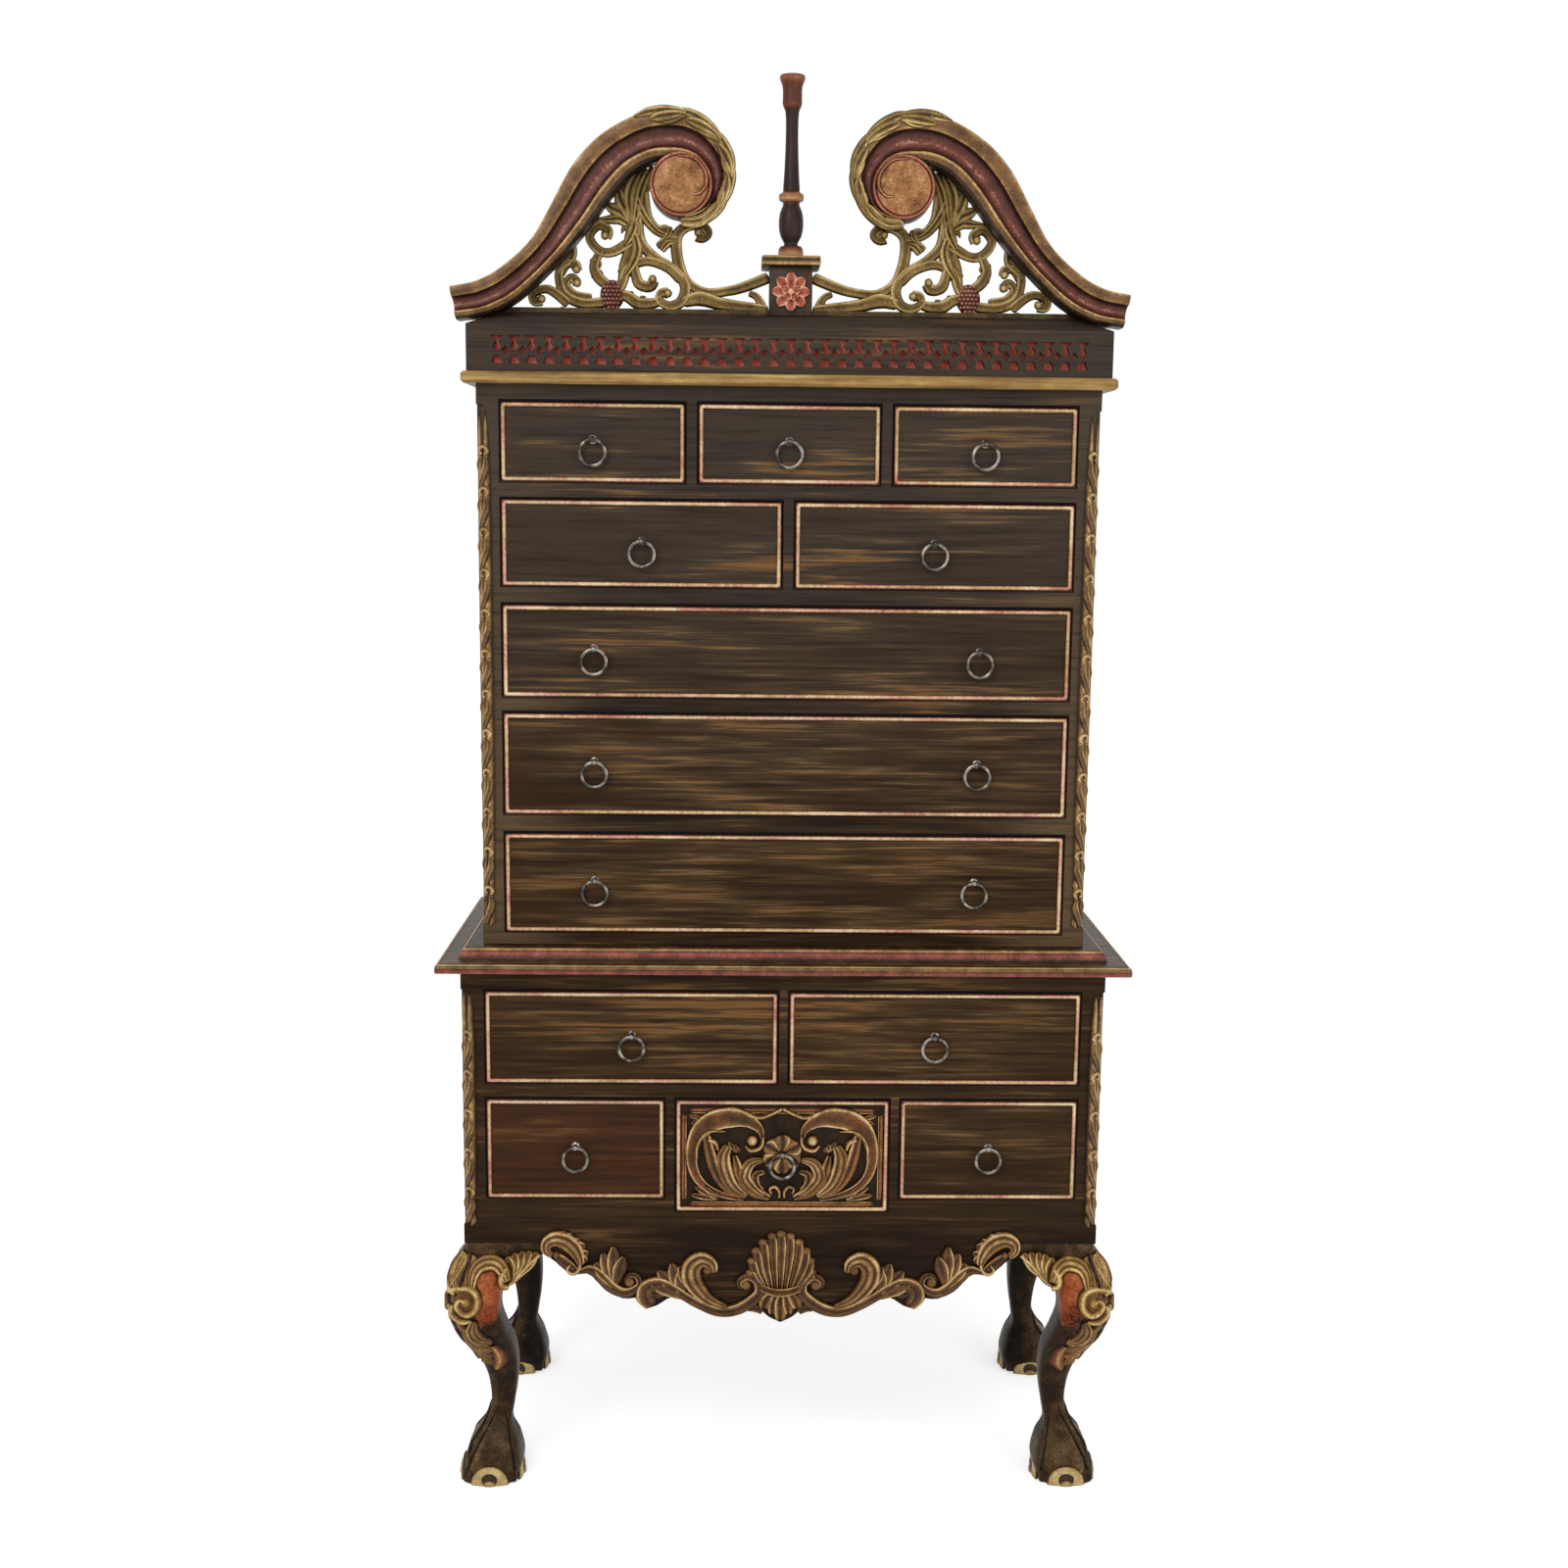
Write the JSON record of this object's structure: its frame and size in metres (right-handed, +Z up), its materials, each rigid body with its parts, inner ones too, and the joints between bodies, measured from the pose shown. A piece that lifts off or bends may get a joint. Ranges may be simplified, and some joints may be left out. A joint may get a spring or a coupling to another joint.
{
  "type": "highboy",
  "caption": "Tall chest of drawers on cabriole legs, with ring pulls, a pierced frieze, a broken scroll pediment with open scrollwork and a turned finial.",
  "frame": {"origin": "on the floor, below the middle of the whole", "axes": "+Z up, -Y to the front where the drawers open, +X to the right of a person facing the drawers"},
  "size_m": [1.062, 0.5152, 2.1796],
  "materials": {
    "case_paint": "dark brown paint, dry-brushed ochre, satin",
    "drawer_paint": "dark brown paint, dry-brushed ochre, gold bead, satin",
    "drawer_inside": "plain sawn wood",
    "red_moulding": "brick red paint with rubbed gold edges",
    "gold_moulding": "antique gold and brick red paint, glazed",
    "gold_carving": "carved wood, antique gold with a dark glaze",
    "red_liner": "bright red paint",
    "leg_paint": "dark brown paint with gold and red carving",
    "finial_brown": "turned wood, dark brown with gold rings",
    "ring_iron": "dark antique metal"
  },
  "bodies": {
    "case": {"upper_frame": "case_paint", "upper_case": "case_paint", "waist_moulding": "red_moulding", "lower_frame": "case_paint", "lower_case": "case_paint", "leg_front_left": "leg_paint", "leg_front_right": "leg_paint", "leg_rear_left": "leg_paint", "leg_rear_right": "leg_paint", "cornice": "gold_moulding", "frieze_fret": "case_paint", "frieze_liner": "red_liner", "pediment_deck": "case_paint", "swan_neck_left": "gold_moulding", "swan_neck_right": "gold_moulding", "pediment_openwork": "gold_carving", "plinth": "case_paint", "finial": "finial_brown"},
    "drawer_upper_1_left": {"drawer_front_upper_1_left": "drawer_paint", "drawer_box_upper_1_left": "drawer_inside"},
    "drawer_upper_1_centre": {"drawer_front_upper_1_centre": "drawer_paint", "drawer_box_upper_1_centre": "drawer_inside"},
    "drawer_upper_1_right": {"drawer_front_upper_1_right": "drawer_paint", "drawer_box_upper_1_right": "drawer_inside"},
    "drawer_upper_2_left": {"drawer_front_upper_2_left": "drawer_paint", "drawer_box_upper_2_left": "drawer_inside"},
    "drawer_upper_2_right": {"drawer_front_upper_2_right": "drawer_paint", "drawer_box_upper_2_right": "drawer_inside"},
    "drawer_upper_3": {"drawer_front_upper_3": "drawer_paint", "drawer_box_upper_3": "drawer_inside"},
    "drawer_upper_4": {"drawer_front_upper_4": "drawer_paint", "drawer_box_upper_4": "drawer_inside"},
    "drawer_upper_5": {"drawer_front_upper_5": "drawer_paint", "drawer_box_upper_5": "drawer_inside"},
    "drawer_lower_1_left": {"drawer_front_lower_1_left": "drawer_paint", "drawer_box_lower_1_left": "drawer_inside"},
    "drawer_lower_1_right": {"drawer_front_lower_1_right": "drawer_paint", "drawer_box_lower_1_right": "drawer_inside"},
    "drawer_lower_2_left": {"drawer_front_lower_2_left": "drawer_paint", "drawer_box_lower_2_left": "drawer_inside"},
    "drawer_lower_2_centre": {"drawer_front_lower_2_centre": "drawer_paint", "drawer_box_lower_2_centre": "drawer_inside"},
    "drawer_lower_2_right": {"drawer_front_lower_2_right": "drawer_paint", "drawer_box_lower_2_right": "drawer_inside"},
    "ring_upper_1_left": {"ring_pull_upper_1_left": "ring_iron"},
    "ring_upper_1_centre": {"ring_pull_upper_1_centre": "ring_iron"},
    "ring_upper_1_right": {"ring_pull_upper_1_right": "ring_iron"},
    "ring_upper_2_left": {"ring_pull_upper_2_left": "ring_iron"},
    "ring_upper_2_right": {"ring_pull_upper_2_right": "ring_iron"},
    "ring_upper_3_left": {"ring_pull_upper_3_left": "ring_iron"},
    "ring_upper_3_right": {"ring_pull_upper_3_right": "ring_iron"},
    "ring_upper_4_left": {"ring_pull_upper_4_left": "ring_iron"},
    "ring_upper_4_right": {"ring_pull_upper_4_right": "ring_iron"},
    "ring_upper_5_left": {"ring_pull_upper_5_left": "ring_iron"},
    "ring_upper_5_right": {"ring_pull_upper_5_right": "ring_iron"},
    "ring_lower_1_left": {"ring_pull_lower_1_left": "ring_iron"},
    "ring_lower_1_right": {"ring_pull_lower_1_right": "ring_iron"},
    "ring_lower_2_left": {"ring_pull_lower_2_left": "ring_iron"},
    "ring_lower_2_centre": {"ring_pull_lower_2_centre": "ring_iron"},
    "ring_lower_2_right": {"ring_pull_lower_2_right": "ring_iron"}
  },
  "joints": [
    {"name": "upper_1_left_slide", "type": "slide", "parent": "case", "child": "drawer_upper_1_left", "axis": [0, -1, 0], "range_m": [0, 0.3]},
    {"name": "upper_1_centre_slide", "type": "slide", "parent": "case", "child": "drawer_upper_1_centre", "axis": [0, -1, 0], "range_m": [0, 0.3]},
    {"name": "upper_1_right_slide", "type": "slide", "parent": "case", "child": "drawer_upper_1_right", "axis": [0, -1, 0], "range_m": [0, 0.3]},
    {"name": "upper_2_left_slide", "type": "slide", "parent": "case", "child": "drawer_upper_2_left", "axis": [0, -1, 0], "range_m": [0, 0.3]},
    {"name": "upper_2_right_slide", "type": "slide", "parent": "case", "child": "drawer_upper_2_right", "axis": [0, -1, 0], "range_m": [0, 0.3]},
    {"name": "upper_3_slide", "type": "slide", "parent": "case", "child": "drawer_upper_3", "axis": [0, -1, 0], "range_m": [0, 0.3]},
    {"name": "upper_4_slide", "type": "slide", "parent": "case", "child": "drawer_upper_4", "axis": [0, -1, 0], "range_m": [0, 0.3]},
    {"name": "upper_5_slide", "type": "slide", "parent": "case", "child": "drawer_upper_5", "axis": [0, -1, 0], "range_m": [0, 0.3]},
    {"name": "lower_1_left_slide", "type": "slide", "parent": "case", "child": "drawer_lower_1_left", "axis": [0, -1, 0], "range_m": [0, 0.3]},
    {"name": "lower_1_right_slide", "type": "slide", "parent": "case", "child": "drawer_lower_1_right", "axis": [0, -1, 0], "range_m": [0, 0.3]},
    {"name": "lower_2_left_slide", "type": "slide", "parent": "case", "child": "drawer_lower_2_left", "axis": [0, -1, 0], "range_m": [0, 0.3]},
    {"name": "lower_2_centre_slide", "type": "slide", "parent": "case", "child": "drawer_lower_2_centre", "axis": [0, -1, 0], "range_m": [0, 0.3]},
    {"name": "lower_2_right_slide", "type": "slide", "parent": "case", "child": "drawer_lower_2_right", "axis": [0, -1, 0], "range_m": [0, 0.3]},
    {"name": "upper_1_left_ring_swing", "type": "hinge", "parent": "drawer_upper_1_left", "child": "ring_upper_1_left", "pos_m": [-0.2925, -0.2055, 1.6449], "axis": [-1, 0, 0], "range_deg": [0, 165]},
    {"name": "upper_1_centre_ring_swing", "type": "hinge", "parent": "drawer_upper_1_centre", "child": "ring_upper_1_centre", "pos_m": [0, -0.2055, 1.6449], "axis": [-1, 0, 0], "range_deg": [0, 165]},
    {"name": "upper_1_right_ring_swing", "type": "hinge", "parent": "drawer_upper_1_right", "child": "ring_upper_1_right", "pos_m": [0.2925, -0.2055, 1.6449], "axis": [-1, 0, 0], "range_deg": [0, 165]},
    {"name": "upper_2_left_ring_swing", "type": "hinge", "parent": "drawer_upper_2_left", "child": "ring_upper_2_left", "pos_m": [-0.21975, -0.2055, 1.4959], "axis": [-1, 0, 0], "range_deg": [0, 165]},
    {"name": "upper_2_right_ring_swing", "type": "hinge", "parent": "drawer_upper_2_right", "child": "ring_upper_2_right", "pos_m": [0.21975, -0.2055, 1.4959], "axis": [-1, 0, 0], "range_deg": [0, 165]},
    {"name": "upper_3_left_ring_swing", "type": "hinge", "parent": "drawer_upper_3", "child": "ring_upper_3_left", "pos_m": [-0.292, -0.2055, 1.3339], "axis": [-1, 0, 0], "range_deg": [0, 165]},
    {"name": "upper_3_right_ring_swing", "type": "hinge", "parent": "drawer_upper_3", "child": "ring_upper_3_right", "pos_m": [0.292, -0.2055, 1.3339], "axis": [-1, 0, 0], "range_deg": [0, 165]},
    {"name": "upper_4_left_ring_swing", "type": "hinge", "parent": "drawer_upper_4", "child": "ring_upper_4_left", "pos_m": [-0.292, -0.2055, 1.1619], "axis": [-1, 0, 0], "range_deg": [0, 165]},
    {"name": "upper_4_right_ring_swing", "type": "hinge", "parent": "drawer_upper_4", "child": "ring_upper_4_right", "pos_m": [0.292, -0.2055, 1.1619], "axis": [-1, 0, 0], "range_deg": [0, 165]},
    {"name": "upper_5_left_ring_swing", "type": "hinge", "parent": "drawer_upper_5", "child": "ring_upper_5_left", "pos_m": [-0.292, -0.2055, 0.9774], "axis": [-1, 0, 0], "range_deg": [0, 165]},
    {"name": "upper_5_right_ring_swing", "type": "hinge", "parent": "drawer_upper_5", "child": "ring_upper_5_right", "pos_m": [0.292, -0.2055, 0.9774], "axis": [-1, 0, 0], "range_deg": [0, 165]},
    {"name": "lower_1_left_ring_swing", "type": "hinge", "parent": "drawer_lower_1_left", "child": "ring_lower_1_left", "pos_m": [-0.23425, -0.2335, 0.7398], "axis": [-1, 0, 0], "range_deg": [0, 165]},
    {"name": "lower_1_right_ring_swing", "type": "hinge", "parent": "drawer_lower_1_right", "child": "ring_lower_1_right", "pos_m": [0.23425, -0.2335, 0.7398], "axis": [-1, 0, 0], "range_deg": [0, 165]},
    {"name": "lower_2_left_ring_swing", "type": "hinge", "parent": "drawer_lower_2_left", "child": "ring_lower_2_left", "pos_m": [-0.32175, -0.2335, 0.5608], "axis": [-1, 0, 0], "range_deg": [0, 165]},
    {"name": "lower_2_centre_ring_swing", "type": "hinge", "parent": "drawer_lower_2_centre", "child": "ring_lower_2_centre", "pos_m": [0, -0.2335, 0.5503], "axis": [-1, 0, 0], "range_deg": [0, 165]},
    {"name": "lower_2_right_ring_swing", "type": "hinge", "parent": "drawer_lower_2_right", "child": "ring_lower_2_right", "pos_m": [0.32175, -0.2335, 0.5608], "axis": [-1, 0, 0], "range_deg": [0, 165]}
  ]
}
